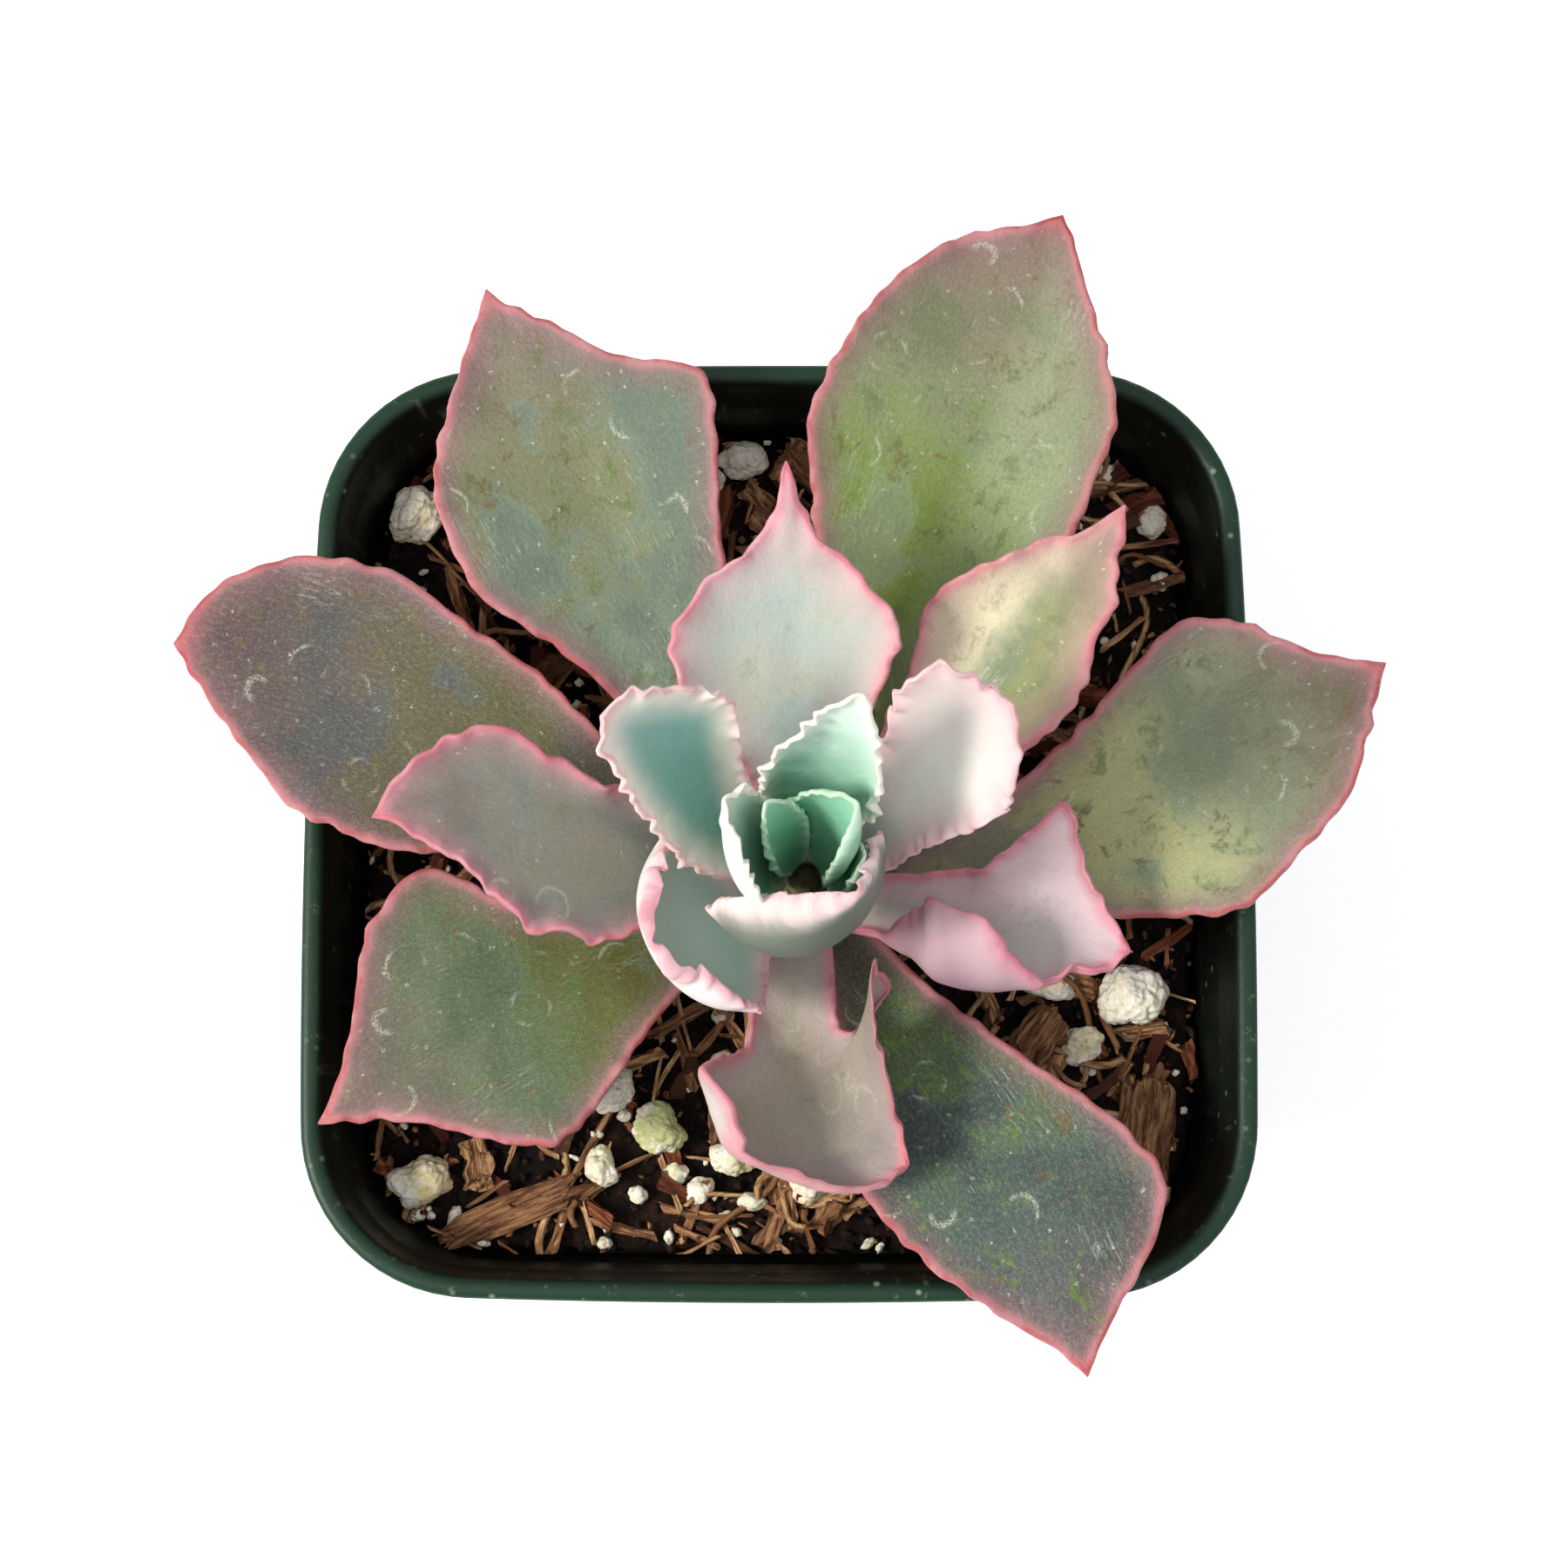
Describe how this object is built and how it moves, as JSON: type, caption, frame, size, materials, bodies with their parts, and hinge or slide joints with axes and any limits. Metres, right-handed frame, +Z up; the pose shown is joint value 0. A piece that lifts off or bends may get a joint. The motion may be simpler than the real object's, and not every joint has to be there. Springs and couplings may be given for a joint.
{
  "type": "potted succulent",
  "caption": "Rosette succulent with broad ruffled leaves, rooted in potting mix in a square nursery pot with rounded corners.",
  "frame": {"origin": "centre of the flat underside of the pot", "axes": "+Z up through the pot, -Y towards the near side of the plant, +X to its right"},
  "size_m": [0.113, 0.108, 0.1227],
  "materials": {
    "pot_plastic": "satin moulded polypropylene",
    "potting_mix": "loose damp peat and bark",
    "stem_bark": "corky, dull",
    "outer_leaves": "powdery bloom with stains, pink margins",
    "middle_leaves": "powdery bloom, pink margins",
    "inner_leaves": "smooth bloom, pale crisped margins",
    "centre_leaves": "smooth, cream margins",
    "heart_leaves": "smooth, pale green margins",
    "perlite": "rough porous",
    "bark_chips": "rough fibrous"
  },
  "bodies": {
    "root": {"pot": "pot_plastic", "soil": "potting_mix", "stem": "stem_bark", "outer_leaf_back_left": "outer_leaves", "outer_leaf_back_right": "outer_leaves", "outer_leaf_left": "outer_leaves", "outer_leaf_right": "outer_leaves", "outer_leaf_front_left": "outer_leaves", "outer_leaf_front_right": "outer_leaves", "middle_leaf_back": "middle_leaves", "middle_leaf_back_right": "middle_leaves", "middle_leaf_left": "middle_leaves", "middle_leaf_right": "middle_leaves", "middle_leaf_front": "middle_leaves", "inner_leaf_left": "inner_leaves", "inner_leaf_right": "inner_leaves", "inner_leaf_front_left": "inner_leaves", "inner_leaf_front": "inner_leaves", "centre_leaf_back": "centre_leaves", "centre_leaf_left": "centre_leaves", "heart_leaf_back": "heart_leaves", "heart_leaf_left": "heart_leaves", "heart_leaf_right": "heart_leaves", "perlite_right_large": "perlite", "perlite_right_long": "perlite", "perlite_right_low": "perlite", "perlite_back_left": "perlite", "perlite_back": "perlite", "perlite_front_left": "perlite", "perlite_front_middle": "perlite", "perlite_front_corner": "perlite", "perlite_front_right": "perlite", "perlite_front_small": "perlite", "bark_right": "bark_chips", "bark_right_low": "bark_chips", "bark_front_left": "bark_chips", "bark_left": "bark_chips", "bark_back": "bark_chips", "bark_back_left": "bark_chips"}
  },
  "joints": []
}
